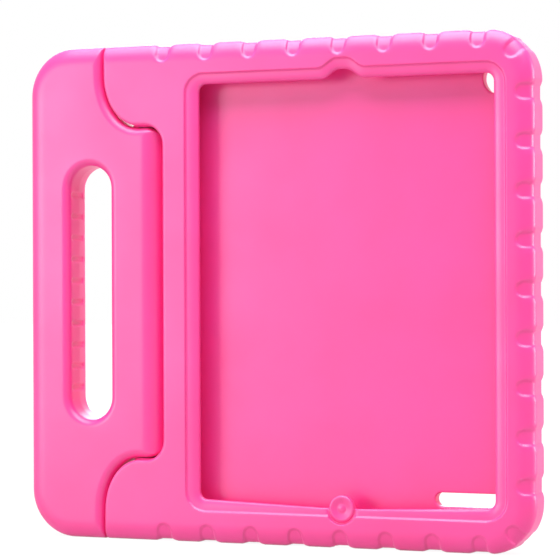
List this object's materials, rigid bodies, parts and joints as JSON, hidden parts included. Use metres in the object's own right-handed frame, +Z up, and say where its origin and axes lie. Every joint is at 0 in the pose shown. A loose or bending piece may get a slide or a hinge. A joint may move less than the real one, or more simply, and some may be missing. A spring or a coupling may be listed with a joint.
{
  "type": "kids tablet case",
  "caption": "Moulded foam tablet case with a front window, grooved edges and a swinging carry handle that folds back.",
  "frame": {"origin": "centre of the case's footprint, at the height that it stands on", "axes": "+X away from the handle, +Y towards the back, +Z up"},
  "size_m": [0.2798, 0.022, 0.26],
  "materials": {
    "shell_foam": "satin",
    "handle_foam": "satin",
    "hinge_plastic": "satin"
  },
  "bodies": {
    "shell": {"case_shell": "shell_foam", "upper_ear_sleeve": "hinge_plastic", "upper_hinge_pin": "hinge_plastic", "lower_ear_sleeve": "hinge_plastic", "lower_hinge_pin": "hinge_plastic"},
    "grip": {"handle": "handle_foam", "upper_handle_sleeve": "hinge_plastic", "lower_handle_sleeve": "hinge_plastic"}
  },
  "joints": [
    {"name": "handle_swing", "type": "hinge", "parent": "shell", "child": "grip", "pos_m": [-0.07315, 0, 0.13], "axis": [0, 0, 1], "range_deg": [-100, 0]}
  ]
}
